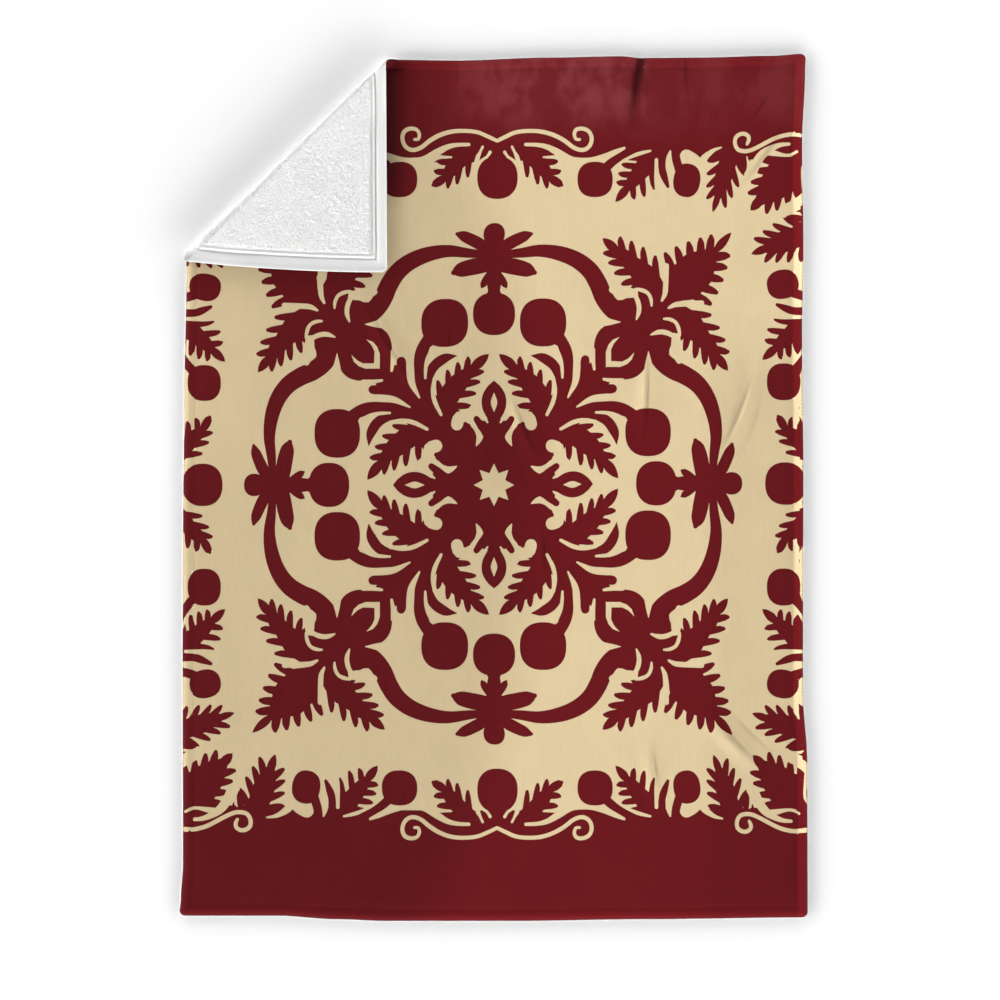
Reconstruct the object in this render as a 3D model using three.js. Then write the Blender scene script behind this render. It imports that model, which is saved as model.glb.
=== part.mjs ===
// A sherpa-backed fleece quilt that lies flat on its back, with its top left corner turned over.
// Millimetres. +X runs across the quilt, +Y towards the turned end, +Z up, the back lies on Z = 0.
import * as THREE from "three";

// Cloth
const width = 1450;
const length = 2000;
const seamGap = 0.36;
const faceThickness = 2.5;
const backThickness = 5.5;
const cornerRadius = 14;
const hemWidth = 25;
const hemShoulder = 45;

// Share of each panel's thickness at a distance from the edge, thin along the row of stitches
const hemProfile = [
  { from: 0, share: 0.5 },
  { from: 12, share: 0.85 },
  { from: hemWidth, share: 0.55 },
  { from: hemShoulder, share: 1 },
];

// How far each edge wavers outwards from the straight rectangle, at places along that edge
const leftEdge = [
  { at: -1000, out: 5 },
  { at: -960, out: 1 },
  { at: -880, out: -4 },
  { at: -400, out: -3 },
  { at: -100, out: -4 },
  { at: 200, out: -7 },
  { at: 500, out: -12 },
  { at: 1000, out: -12 },
];
const rightEdge = [
  { at: -1000, out: 6 },
  { at: -640, out: 5 },
  { at: -480, out: -5 },
  { at: 30, out: -4 },
  { at: 330, out: -7 },
  { at: 560, out: -4 },
  { at: 790, out: -7 },
  { at: 960, out: 0 },
  { at: 1000, out: 2 },
];
const farEdge = [
  { at: -725, out: -6 },
  { at: -250, out: -6 },
  { at: -100, out: -8 },
  { at: 130, out: -1 },
  { at: 290, out: 2 },
  { at: 340, out: -2 },
  { at: 480, out: -1 },
  { at: 640, out: 3 },
  { at: 725, out: 8 },
];
const nearEdge = [
  { at: -725, out: -4 },
  { at: -500, out: -4 },
  { at: -360, out: 4 },
  { at: -250, out: 8 },
  { at: 60, out: 8 },
  { at: 350, out: 4 },
  { at: 725, out: 0 },
];

// Loose creases: each runs along a bowed line, sinks or stands there, and may have a soft shoulder
// on both sides. It fades out towards its ends.
const creases = [
  { fromX: 343, fromY: 1120, toX: 316, toY: 830, bow: 4, spread: 17, height: -2.6, shoulder: 4.6 },
  { fromX: 360, fromY: 380, toX: 342, toY: 60, bow: -9, spread: 19, height: 3.8, shoulder: 0 },
  { fromX: 30, fromY: 275, toX: 126, toY: 20, bow: 10, spread: 18, height: 3.4, shoulder: 0 },
  { fromX: 108, fromY: -50, toX: 121, toY: -240, bow: -6, spread: 17, height: 2.8, shoulder: 0 },
  { fromX: -330, fromY: 490, toX: -145, toY: 190, bow: 8, spread: 20, height: 3.8, shoulder: 0 },
  { fromX: 612, fromY: 360, toX: 508, toY: 40, bow: -14, spread: 22, height: -2, shoulder: 4.4 },
  { fromX: 356, fromY: -560, toX: 376, toY: -760, bow: 5, spread: 17, height: 3.4, shoulder: 0 },
  { fromX: 480, fromY: -490, toX: 640, toY: -680, bow: 10, spread: 20, height: 3.8, shoulder: 0 },
  { fromX: 715, fromY: 890, toX: 530, toY: 645, bow: -12, spread: 20, height: 3.8, shoulder: 0 },
];

// Turned corner: where the fold meets the two edges, and the outline of the flap on top
const foldAtLeft = new THREE.Vector2(-714, 569);
const foldAtFar = new THREE.Vector2(-251, 994);
const flapTip = new THREE.Vector2(-246, 499);
const flapLeftEnd = new THREE.Vector2(-711, 524);
const flapFarEnd = new THREE.Vector2(-249, 985);
const flapBulge = 6;
const rollRadius = 7;
const flapGap = 1.5;
const settleLength = 90;

// Mesh of the flat cloth: its square cells, halved down to these sizes near the fold and the creases,
// the rows of the fold, and the least distance that a cut leaves beside a corner
const cellsAcross = 18;
const cellsAlong = 25;
const foldCell = 45;
const creaseCell = 25;
const creaseEnd = 0.1;
const rollRows = 8;
const settleRows = 3;
const leastCut = 0.5;
const probe = 0.5;

const halfWidth = width / 2;
const halfLength = length / 2;
const faceReach = faceThickness + seamGap / 2;
const backReach = backThickness + seamGap / 2;

const smooth = (x) => {
  const t = Math.min(Math.max(x, 0), 1);
  return t * t * (3 - 2 * t);
};

// The value of a table's column at a place, eased between the rows on either side
function eased(table, place, value, at) {
  const next = table.findIndex((row) => row[place] >= at);
  if (next === 0) return table[0][value];
  if (next < 0) return table.at(-1)[value];
  const before = table[next - 1];
  const after = table[next];
  const share = smooth((at - before[place]) / (after[place] - before[place]));
  return before[value] + (after[value] - before[value]) * share;
}

const fromEdge = (u, v) => Math.min(halfWidth - Math.abs(u), halfLength - Math.abs(v));

// Draws a square corner in to a round one
function rounded(u, v) {
  const across = (Math.abs(u) - halfWidth + cornerRadius) / cornerRadius;
  const along = (Math.abs(v) - halfLength + cornerRadius) / cornerRadius;
  if (across <= 0 || along <= 0) return [u, v];
  const dropU = cornerRadius * across * (1 - Math.sqrt(1 - (along * along) / 2));
  const dropV = cornerRadius * along * (1 - Math.sqrt(1 - (across * across) / 2));
  return [u - Math.sign(u) * dropU, v - Math.sign(v) * dropV];
}

// Where a point of the flat cloth lies, seen from above, with the wavering edges
function laidOut(u, v) {
  const [x, y] = rounded(u, v);
  const right = (x + halfWidth) / width;
  const far = (y + halfLength) / length;
  const outX = eased(rightEdge, "at", "out", y) * right - eased(leftEdge, "at", "out", y) * (1 - right);
  const outY = eased(farEdge, "at", "out", x) * far - eased(nearEdge, "at", "out", x) * (1 - far);
  return new THREE.Vector2(x + outX, y + outY);
}

// A bow that is 1 halfway along and 0 at both ends
const bowOf = (share) => 4 * share * (1 - share);

// A point's place by a crease: its share of the way along, and its distance aside in spreads
function byCrease(crease, u, v) {
  const runX = crease.toX - crease.fromX;
  const runY = crease.toY - crease.fromY;
  const run = Math.hypot(runX, runY);
  const along = ((u - crease.fromX) * runX + (v - crease.fromY) * runY) / (run * run);
  const straight = ((u - crease.fromX) * runY - (v - crease.fromY) * runX) / run;
  return { along, aside: (straight - crease.bow * bowOf(along)) / crease.spread };
}

// Height that the creases add to the flat cloth
function creased(u, v) {
  let height = 0;
  for (const crease of creases) {
    const { along, aside } = byCrease(crease, u, v);
    const fade = smooth(2 * along) * smooth(2 - 2 * along);
    height += (crease.height + crease.shoulder * aside * aside) * Math.exp(-aside * aside) * fade;
  }
  return height;
}

// Fold line on the flat cloth, inside the outermost point of the roll
const foldRun = foldAtFar.clone().sub(foldAtLeft).normalize();
const inward = new THREE.Vector2(foldRun.y, -foldRun.x);
const rollStart = foldAtLeft.clone().addScaledVector(inward, rollRadius + backReach);
const rollArc = Math.PI * rollRadius;
const beyondFold = (u, v) => -(u - rollStart.x) * inward.x - (v - rollStart.y) * inward.y;

// The flat cloth's corner past the roll: its depth, and its two sides along the edges of the cloth
const cornerDepth = beyondFold(-halfWidth, halfLength) - rollArc;
const farSide = cornerDepth / inward.x;
const leftSide = cornerDepth / -inward.y;

// Where a point of that corner lies within the outline of the flap, whose near edge bulges a little
function onFlap(u, v) {
  const towardsFar = (u + halfWidth) / farSide;
  const towardsLeft = (halfLength - v) / leftSide;
  const bulge = flapBulge * bowOf(Math.min(towardsLeft, 1)) * (1 - towardsFar) ** 2;
  return flapTip.clone()
    .addScaledVector(flapFarEnd.clone().sub(flapTip), towardsFar)
    .addScaledVector(flapLeftEnd.clone().sub(flapTip), towardsLeft)
    .sub(new THREE.Vector2(0, bulge));
}

// The seam between face and back: a point of the flat cloth, laid, creased and folded over
function laidSeam(u, v) {
  const share = eased(hemProfile, "from", "share", fromEdge(u, v));
  const beyond = beyondFold(u, v);
  if (beyond <= 0) {
    const place = laidOut(u, v);
    return new THREE.Vector3(place.x, place.y, seamGap / 2 + share * (backThickness + creased(u, v)));
  }
  const turn = Math.min(beyond / rollArc, 1) * Math.PI;
  const rise = (1 - Math.cos(turn)) / 2;
  const start = laidOut(u + inward.x * beyond, v + inward.y * beyond);
  const back = beyond - rollArc;
  const [x, y] = back > 0 ? rounded(u, v) : [u + inward.x * back, v + inward.y * back];
  const end = onFlap(x, y);
  const place = start.lerp(end, rise).addScaledVector(inward, -rollRadius * Math.sin(turn));
  const settled = 2 * faceReach + flapGap;
  const lift = 2 * rollRadius + (settled - 2 * rollRadius) * smooth(back / settleLength);
  const bottom = seamGap / 2 + backThickness * (share + (1 - share) * rise);
  return new THREE.Vector3(place.x, place.y, bottom + lift * rise);
}

// Direction in which the face looks, from three nearby points of the seam
function faceDirection(u, v) {
  const toU = u > 0 ? -probe : probe;
  const toV = v > 0 ? -probe : probe;
  const here = laidSeam(u, v);
  const acrossCloth = laidSeam(u + toU, v).sub(here).divideScalar(toU);
  const alongCloth = laidSeam(u, v + toV).sub(here).divideScalar(toV);
  return acrossCloth.cross(alongCloth).normalize();
}

// Whether a crease shows within a distance of a point of the flat cloth
const creasedNear = (u, v, reach) => creases.some((crease) => {
  const { along, aside } = byCrease(crease, u, v);
  return along > creaseEnd && along < 1 - creaseEnd && Math.abs(aside) < 1 + reach / crease.spread;
});

// Square cells of the flat cloth, halved where a crease or the fold crosses them
function cellsOf(u, v, wide, high) {
  const middleU = u + wide / 2;
  const middleV = v + high / 2;
  const beyond = beyondFold(middleU, middleV);
  const folded = beyond > -wide && beyond < rollArc + settleLength && wide > foldCell;
  const wrinkled = wide > creaseCell && creasedNear(middleU, middleV, wide / 2);
  if (!folded && !wrinkled) return [{ u, v, wide, high }];
  return [[u, v], [middleU, v], [u, middleV], [middleU, middleV]].flatMap(([fromU, fromV]) =>
    cellsOf(fromU, fromV, wide / 2, high / 2));
}

const cornersOf = ({ u, v, wide, high }) => [[u, v], [u + wide, v], [u + wide, v + high], [u, v + high]];
const key = ([u, v]) => `${Math.round(u * 100)},${Math.round(v * 100)}`;

// A cell's outline, with every corner of its smaller neighbours that lies on it
function outlineOf(cell, known) {
  const turns = cornersOf(cell);
  const quarters = [0, 1 / 4, 2 / 4, 3 / 4];
  return turns.flatMap((from, side) => {
    const to = turns[(side + 1) % turns.length];
    const points = quarters.map((share) => from.map((value, axis) => value + (to[axis] - value) * share));
    return points.filter((point) => known.has(key(point)));
  });
}

// Cuts a convex outline along the line where a distance is zero, into one piece or two
function cut(outline, distance) {
  const sides = outline.map((point) => (Math.abs(distance(...point)) < leastCut ? 0 : distance(...point)));
  if (!(Math.min(...sides) < 0 && Math.max(...sides) > 0)) return [outline];
  const pieces = [[], []];
  outline.forEach((point, i) => {
    const next = (i + 1) % outline.length;
    if (sides[i] <= 0) pieces[0].push(point);
    if (sides[i] >= 0) pieces[1].push(point);
    if (sides[i] * sides[next] < 0) {
      const share = sides[i] / (sides[i] - sides[next]);
      const crossing = point.map((value, axis) => value + (outline[next][axis] - value) * share);
      pieces.forEach((piece) => piece.push(crossing));
    }
  });
  return pieces.filter((piece) => piece.length > 2);
}

// Lines along which the flat cloth is cut: the rows of the fold and both lines of the hem
function cutLines() {
  const rolled = Array.from({ length: rollRows + 1 }, (_, i) => rollArc * (i / rollRows));
  const settling = Array.from({ length: settleRows }, (_, i) => settleLength * ((i + 1) / settleRows));
  const settled = settling.map((beyond) => rollArc + beyond);
  const folds = [...rolled, ...settled].map((row) => (u, v) => beyondFold(u, v) - row);
  const hems = [hemWidth, hemShoulder].flatMap((inset) => [
    (u) => u - halfWidth + inset,
    (u) => u + halfWidth - inset,
    (u, v) => v - halfLength + inset,
    (u, v) => v + halfLength - inset,
  ]);
  return [...folds, ...hems];
}

const area = ([a, b, c]) => ((b[0] - a[0]) * (c[1] - a[1]) - (b[1] - a[1]) * (c[0] - a[0])) / 2;

// Triangles of a convex ring of points, fanned from the corner that leaves the least one largest
function fanned(ring) {
  const fans = ring.map((corner, turn) => {
    const others = [...ring.slice(turn + 1), ...ring.slice(0, turn)];
    return others.slice(1).map((next, i) => [corner, others[i], next]);
  });
  const least = fans.map((fan) => Math.min(...fan.map(area)));
  return fans[least.indexOf(Math.max(...least))];
}

// The flat cloth as triangles: its points, and three point numbers for each triangle
function flatTriangles() {
  const wide = width / cellsAcross;
  const high = length / cellsAlong;
  const cells = [];
  for (let i = 0; i < cellsAcross; i += 1) {
    for (let j = 0; j < cellsAlong; j += 1) {
      cells.push(...cellsOf(i * wide - halfWidth, j * high - halfLength, wide, high));
    }
  }
  const known = new Set(cells.flatMap(cornersOf).map(key));
  let outlines = cells.map((cell) => outlineOf(cell, known));
  for (const line of cutLines()) {
    outlines = outlines.flatMap((outline) => cut(outline, line));
  }
  const points = [];
  const numbers = new Map();
  const numberOf = (point) => {
    const name = key(point);
    if (!numbers.has(name)) {
      numbers.set(name, points.length);
      points.push(point);
    }
    return numbers.get(name);
  };
  const triangles = outlines.flatMap(fanned).map((corners) => corners.map(numberOf));
  return { points, triangles };
}

// A panel: one closed body between two distances from the seam, along the face's direction
function panel({ points, triangles }, low, high) {
  const position = [];
  for (const offset of [low, high]) {
    for (const [u, v] of points) {
      const share = eased(hemProfile, "from", "share", fromEdge(u, v));
      const place = laidSeam(u, v).addScaledVector(faceDirection(u, v), offset(share));
      position.push(place.x, place.y, Math.max(place.z, 0));
    }
  }
  const count = points.length;
  const index = [];
  const edges = new Map();
  for (const [a, b, c] of triangles) {
    index.push(a + count, b + count, c + count, a, c, b);
    for (const [from, to] of [[a, b], [b, c], [c, a]]) {
      if (!edges.delete(`${to},${from}`)) edges.set(`${from},${to}`, [from, to]);
    }
  }
  for (const [from, to] of edges.values()) {
    index.push(from, to, to + count, from, to + count, from + count);
  }
  const geometry = new THREE.BufferGeometry();
  geometry.setAttribute("position", new THREE.Float32BufferAttribute(position, 3));
  geometry.setIndex(index);
  geometry.computeVertexNormals();
  return geometry;
}

const cloth = flatTriangles();
const printed = new THREE.MeshStandardMaterial({ color: 0xd5bf97, roughness: 0.85, metalness: 0 });
const sherpa = new THREE.MeshStandardMaterial({ color: 0xececec, roughness: 0.95, metalness: 0 });

const face = new THREE.Mesh(
  panel(cloth, () => seamGap / 2, (share) => seamGap / 2 + faceThickness * share),
  printed,
);
face.name = "face";
const back = new THREE.Mesh(
  panel(cloth, (share) => -seamGap / 2 - backThickness * share, () => -seamGap / 2),
  sherpa,
);
back.name = "sherpa_back";

const quilt = new THREE.Group();
quilt.add(face, back);

// Centres the quilt on its own box, with the back on Z = 0
const box = new THREE.Box3().setFromObject(quilt);
quilt.position.set(-(box.min.x + box.max.x) / 2, -(box.min.y + box.max.y) / 2, -box.min.z);

export default quilt;
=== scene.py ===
import math

import bpy
import numpy as np
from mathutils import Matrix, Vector, noise
from mathutils.geometry import delaunay_2d_cdt


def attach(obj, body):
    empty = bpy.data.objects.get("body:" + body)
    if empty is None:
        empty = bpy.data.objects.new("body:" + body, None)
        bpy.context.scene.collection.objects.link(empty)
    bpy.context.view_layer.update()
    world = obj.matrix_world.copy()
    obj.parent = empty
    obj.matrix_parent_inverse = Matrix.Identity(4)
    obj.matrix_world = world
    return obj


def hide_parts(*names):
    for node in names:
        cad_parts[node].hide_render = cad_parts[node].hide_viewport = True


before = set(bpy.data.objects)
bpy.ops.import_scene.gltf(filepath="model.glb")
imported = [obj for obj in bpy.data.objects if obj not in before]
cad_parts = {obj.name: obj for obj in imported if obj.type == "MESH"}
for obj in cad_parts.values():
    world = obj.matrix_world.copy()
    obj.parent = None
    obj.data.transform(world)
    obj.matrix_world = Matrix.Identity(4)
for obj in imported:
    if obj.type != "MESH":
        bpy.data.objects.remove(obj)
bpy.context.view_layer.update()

# All sizes are in millimetres until a mesh is made

# The two panels as they are cut, u across and v along, before they are laid
WIDTH = 1450
LENGTH = 2000
HALF_WIDTH = WIDTH / 2
HALF_LENGTH = LENGTH / 2
SEAM_GAP = 0.36
FACE_THICKNESS = 2.5
BACK_THICKNESS = 5.5
CORNER_RADIUS = 14
STITCH_INSET = 24

# Share of the full thickness from the sewn edge inwards: a soft hem, its stitched line, then loose pile
HEM = [
    # (from the edge, share)
    (0, 0.4),
    (2.5, 0.6),
    (6, 0.78),
    (13, 0.87),
    (19, 0.78),
    (24, 0.48),
    (29, 0.72),
    (37, 0.94),
    (46, 1),
]

# How far each edge strays outwards from the cut rectangle, as (place along it, how far out)
LEFT_EDGE = [
    (-1000, 5),
    (-960, 1),
    (-880, -4),
    (-400, -3),
    (-100, -4),
    (200, -7),
    (500, -12),
    (1000, -12),
]
RIGHT_EDGE = [
    (-1000, 6),
    (-640, 5),
    (-480, -5),
    (30, -4),
    (330, -7),
    (560, -4),
    (790, -7),
    (960, 0),
    (1000, 2),
]
FAR_EDGE = [
    (-725, -6),
    (-250, -6),
    (-100, -8),
    (130, -1),
    (290, 2),
    (340, -2),
    (480, -1),
    (640, 3),
    (725, 8),
]
NEAR_EDGE = [
    (-725, -4),
    (-500, -4),
    (-360, 4),
    (-250, 8),
    (60, 8),
    (350, 4),
    (725, 0),
]

# Loose creases that both panels share: a trough or ridge with soft shoulders
CREASES = [
    # (from u, from v, to u, to v, bow, spread, height, shoulder)
    (343, 1120, 316, 830, 4, 17, -2.6, 4.6),
    (360, 380, 342, 60, -9, 19, 3.8, 0),
    (30, 275, 126, 20, 10, 18, 3.4, 0),
    (108, -50, 121, -240, -6, 17, 2.8, 0),
    (-330, 490, -145, 190, 8, 20, 3.8, 0),
    (612, 360, 508, 40, -14, 22, -2, 4.4),
    (356, -560, 376, -760, 5, 17, 3.4, 0),
    (480, -490, 640, -680, 10, 20, 3.8, 0),
    (715, 890, 530, 645, -12, 20, 3.8, 0),
]

# Turned corner: where it folds, where its own corner lands, and how round the roll is
FOLD_AT_LEFT = np.array((-714, 569))
FOLD_AT_FAR = np.array((-251, 994))
FLAP_TIP = np.array((-246, 499))
FLAP_LEFT_END = np.array((-711, 524))
FLAP_FAR_END = np.array((-249, 985))
FLAP_BULGE = 6
ROLL_RADIUS = 7
FLAP_GAP = 1.5
SETTLE_LENGTH = 90
PROBE = 0.5

# Middle of the laid quilt's box, which is the middle of the frame
BOX_MIDDLE = (1.86, -0.52)

FACE_REACH = FACE_THICKNESS + SEAM_GAP / 2
BACK_REACH = BACK_THICKNESS + SEAM_GAP / 2
FOLD_RUN = (FOLD_AT_FAR - FOLD_AT_LEFT) / np.linalg.norm(FOLD_AT_FAR - FOLD_AT_LEFT)
INWARD = np.array((FOLD_RUN[1], -FOLD_RUN[0]))
ROLL_START = FOLD_AT_LEFT + INWARD * (ROLL_RADIUS + BACK_REACH)
ROLL_ARC = math.pi * ROLL_RADIUS


def smooth(x):
    x = np.clip(x, 0, 1)
    return x * x * (3 - 2 * x)


def eased(table, at):
    """The table's value at a place, easing from one row to the next and constant past its ends."""
    at = np.asarray(at, float)
    value = np.full(at.shape, float(table[0][1]))
    for (low, before), (high, after) in zip(table, table[1:]):
        value += (after - before) * smooth((at - low) / (high - low))
    return value


def from_edge(u, v):
    return np.minimum(HALF_WIDTH - np.abs(u), HALF_LENGTH - np.abs(v))


def rounded(u, v):
    """Draws the four corners in to their radius."""
    a = (np.abs(u) - HALF_WIDTH + CORNER_RADIUS) / CORNER_RADIUS
    b = (np.abs(v) - HALF_LENGTH + CORNER_RADIUS) / CORNER_RADIUS
    corner = (a > 0) & (b > 0)
    a = np.where(corner, a, 0)
    b = np.where(corner, b, 0)
    x = u - np.sign(u) * CORNER_RADIUS * a * (1 - np.sqrt(1 - b * b / 2))
    y = v - np.sign(v) * CORNER_RADIUS * b * (1 - np.sqrt(1 - a * a / 2))
    return x, y


def laid_out(u, v):
    """Where a point of the cut cloth lies on the surface, before its corner is turned over."""
    x, y = rounded(u, v)
    right = (x + HALF_WIDTH) / WIDTH
    far = (y + HALF_LENGTH) / LENGTH
    out_x = eased(RIGHT_EDGE, y) * right - eased(LEFT_EDGE, y) * (1 - right)
    out_y = eased(FAR_EDGE, x) * far - eased(NEAR_EDGE, x) * (1 - far)
    return x + out_x, y + out_y


def cut_place(x, y):
    """The point of the cut cloth that lies at a place of the laid one."""
    u, v = x, y
    for _ in range(4):
        lx, ly = laid_out(u, v)
        u, v = u + x - lx, v + y - ly
    return u, v


def bow_of(s):
    return 4 * s * (1 - s)


def creased(u, v, creases):
    height = np.zeros(np.shape(u))
    for from_u, from_v, to_u, to_v, bow, spread, rise, shoulder in creases:
        run_u, run_v = to_u - from_u, to_v - from_v
        run = math.hypot(run_u, run_v)
        along = ((u - from_u) * run_u + (v - from_v) * run_v) / run**2
        straight = ((u - from_u) * run_v - (v - from_v) * run_u) / run
        aside = (straight - bow * bow_of(along)) / spread
        fade = smooth(2 * along) * smooth(2 - 2 * along)
        height += (rise + shoulder * aside**2) * np.exp(-(aside**2)) * fade
    return height


def beyond_fold(u, v):
    return -(u - ROLL_START[0]) * INWARD[0] - (v - ROLL_START[1]) * INWARD[1]


CORNER_DEPTH = beyond_fold(-HALF_WIDTH, HALF_LENGTH) - ROLL_ARC
FAR_SIDE = CORNER_DEPTH / INWARD[0]
LEFT_SIDE = CORNER_DEPTH / -INWARD[1]


def on_flap(u, v):
    towards_far = (u + HALF_WIDTH) / FAR_SIDE
    towards_left = (HALF_LENGTH - v) / LEFT_SIDE
    bulge = FLAP_BULGE * bow_of(np.minimum(towards_left, 1)) * (1 - towards_far) ** 2
    to_far = FLAP_FAR_END - FLAP_TIP
    to_left = FLAP_LEFT_END - FLAP_TIP
    x = FLAP_TIP[0] + to_far[0] * towards_far + to_left[0] * towards_left
    y = FLAP_TIP[1] + to_far[1] * towards_far + to_left[1] * towards_left - bulge
    return x, y


def laid_seam(u, v):
    """The surface between the two panels as the quilt lies, turned corner included."""
    share = eased(HEM, from_edge(u, v))
    beyond = beyond_fold(u, v)
    x, y = laid_out(u, v)
    z = SEAM_GAP / 2 + share * (BACK_THICKNESS + creased(u, v, CREASES))
    turn = np.clip(beyond / ROLL_ARC, 0, 1) * math.pi
    rise = (1 - np.cos(turn)) / 2
    start_x, start_y = laid_out(u + INWARD[0] * beyond, v + INWARD[1] * beyond)
    back = beyond - ROLL_ARC
    corner_x, corner_y = rounded(u, v)
    end_x, end_y = on_flap(
        np.where(back > 0, corner_x, u + INWARD[0] * back),
        np.where(back > 0, corner_y, v + INWARD[1] * back),
    )
    turned_x = start_x + (end_x - start_x) * rise - INWARD[0] * ROLL_RADIUS * np.sin(turn)
    turned_y = start_y + (end_y - start_y) * rise - INWARD[1] * ROLL_RADIUS * np.sin(turn)
    settled = 2 * FACE_REACH + FLAP_GAP
    lift = 2 * ROLL_RADIUS + (settled - 2 * ROLL_RADIUS) * smooth(back / SETTLE_LENGTH)
    bottom = SEAM_GAP / 2 + BACK_THICKNESS * (share + (1 - share) * rise)
    over = beyond > 0
    turned_z = bottom + lift * rise
    pairs = ((turned_x, x), (turned_y, y), (turned_z, z))
    return np.stack([np.where(over, turned, flat) for turned, flat in pairs], -1)


def face_direction(u, v):
    """Unit vector from the seam towards the printed side."""
    here = laid_seam(u, v)
    to_u = np.where(u > 0, -PROBE, PROBE)
    to_v = np.where(v > 0, -PROBE, PROBE)
    across = (laid_seam(u + to_u, v) - here) / to_u[:, None]
    along = (laid_seam(u, v + to_v) - here) / to_v[:, None]
    out = np.cross(across, along)
    return out / np.linalg.norm(out, axis=1)[:, None]


def offset_from_seam(places, reach):
    """Points that far from the seam, towards the printed side, or the back where it is below 0."""
    u, v = places[:, 0], places[:, 1]
    point = laid_seam(u, v) + face_direction(u, v) * np.asarray(reach)[:, None]
    point[:, 0] -= BOX_MIDDLE[0]
    point[:, 1] -= BOX_MIDDLE[1]
    point[:, 2] = np.maximum(point[:, 2], 0)
    return point


# The print is drawn on a square cloth: across to the right and along to the far end, from its middle.
# The knit is a little longer along than across, and it was pulled unevenly here and there.
SAND = 0
MAROON = 1
PRINT_MIDDLE = (1.9, 5.3)
FAR_STRETCH = 1.055
NEAR_STRETCH = 1.046
DRIFTS = [
    # (middle across, along, reach across, along, pulled right, pulled far)
    (0, 698, 558, 110, 8, 0),
    (0, -698, 558, 110, 8, 0),
    (0, -767, 140, 70, 0, -4),
    (-395, 0, 210, 535, -6.3, 0),
    (663, 663, 150, 150, -5.6, 4.7),
    (-663, -663, 150, 150, -8, 4.7),
    (465, 0, 280, 163, 0, 3.7),
    (-465, 395, 325, 186, 0, -5.3),
    (-663, 540, 100, 70, 0, -9),
]
EDGE_STEP = 6


def printed_place(shape):
    """Where a drawn outline comes on the cut cloth."""
    p, q = shape[:, 0], shape[:, 1]
    x = PRINT_MIDDLE[0] + p
    y = PRINT_MIDDLE[1] + q * np.where(q > 0, FAR_STRETCH, NEAR_STRETCH)
    for mid_p, mid_q, reach_p, reach_q, right, far in DRIFTS:
        pull = np.exp(-(((p - mid_p) / reach_p) ** 6) - ((q - mid_q) / reach_q) ** 4)
        x = x + right * pull
        y = y + far * pull
    return np.stack(cut_place(x, y), 1)


def turned(direction, angle):
    c, s = math.cos(angle), math.sin(angle)
    return np.array([direction[0] * c - direction[1] * s, direction[0] * s + direction[1] * c])


def brush(*points):
    """One stroke of a loaded brush through (across, along, width) points, round at an end that has width."""
    rows = [np.array(p, float) for p in points]
    last = len(rows) - 1
    before = 2 * rows[0] - rows[1]
    after = 2 * rows[-1] - rows[-2]
    ring = [before, *rows, after]
    path, widths = [], []
    for i in range(last):
        a, b, c, d = ring[i : i + 4]
        steps = max(2, round(np.linalg.norm((c - b)[:2]) / EDGE_STEP))
        first_slope = (c[2] - a[2]) / 2 if i > 0 else c[2] - b[2]
        last_slope = (d[2] - b[2]) / 2 if i + 2 <= last else c[2] - b[2]
        for t in np.arange(steps) / steps:
            squared, cubed = 2 * a - 5 * b + 4 * c - d, 3 * b - a - 3 * c + d
            point = 2 * b + (c - a) * t + squared * t**2 + cubed * t**3
            path.append(point[:2] / 2)
            widths.append(
                (2 * t**3 - 3 * t**2 + 1) * b[2]
                + (t**3 - 2 * t**2 + t) * first_slope
                + (3 * t**2 - 2 * t**3) * c[2]
                + (t**3 - t**2) * last_slope
            )
    path.append(rows[-1][:2])
    widths.append(rows[-1][2])
    path = np.array(path)
    half = np.maximum(np.array(widths), 0)[:, None] / 2
    run = np.gradient(path, axis=0)
    run /= np.linalg.norm(run, axis=1)[:, None]
    side = np.stack([-run[:, 1], run[:, 0]], 1) * half
    left, right = path + side, path - side

    def round_end(middle, spoke):
        if np.hypot(*spoke) < 0.6:
            return np.zeros((0, 2))
        angles = -np.linspace(0, math.pi, 7)[1:-1]
        return middle + np.array([turned(spoke, angle) for angle in angles])

    return np.concatenate([left, round_end(path[-1], side[-1]), right[::-1], round_end(path[0], -side[0])])


def petal(root, tip, width, bow=0, blunt=0.35, first=0.8, full=0.84):
    """One petal or finger. Its tip, root and near-tip widths are the shares blunt, first and full."""
    root, tip = np.array(root, float), np.array(tip, float)
    run = tip - root
    length = np.hypot(*run)
    side = np.array([-run[1], run[0]]) / length * bow
    end = tip - run / length * width * blunt / 2
    return brush(
        (*root, width * first),
        (*(root + run * 0.25 + side * 0.75), width * 0.95),
        (*(root + run * 0.5 + side), width),
        (*(root + run * 0.8 + side * 0.64), width * full),
        (*end, width * blunt),
    )


def fruit(middle, wide, high, square=2.3, tilt=0):
    """A round fruit a little squared, given by its half sizes."""
    count = max(16, round(2 * math.pi * max(wide, high) / EDGE_STEP))
    a = np.linspace(0, 2 * math.pi, count, endpoint=False)
    x = wide * np.sign(np.cos(a)) * np.abs(np.cos(a)) ** (2 / square)
    y = high * np.sign(np.sin(a)) * np.abs(np.sin(a)) ** (2 / square)
    c, s = math.cos(math.radians(tilt)), math.sin(math.radians(tilt))
    return np.stack([middle[0] + x * c - y * s, middle[1] + x * s + y * c], 1)


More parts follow.
